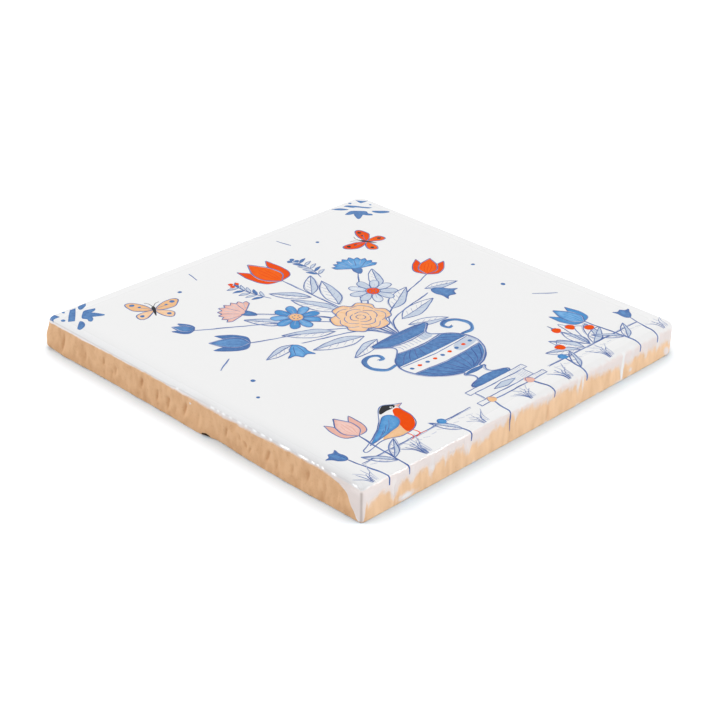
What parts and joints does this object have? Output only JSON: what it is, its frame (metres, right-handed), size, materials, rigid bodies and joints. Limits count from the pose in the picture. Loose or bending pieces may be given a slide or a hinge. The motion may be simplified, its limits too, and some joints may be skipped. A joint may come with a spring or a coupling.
{
  "type": "decorative tile",
  "caption": "Square glazed earthenware wall tile with a hand-painted decoration on white glaze, rolled glazed arrises and bare clay edges.",
  "frame": {"origin": "centre of the back face", "axes": "+Z out through the glazed face, +Y to the top edge of the decoration, +X to its right-hand edge"},
  "size_m": [0.1, 0.1, 0.0073],
  "materials": {
    "glazed_tile": "glossy white tin glaze over bare tan clay edges",
    "painted_decoration": "cobalt and coloured brush painting in the glaze"
  },
  "bodies": {
    "root": {"tile": "glazed_tile"}
  },
  "joints": []
}
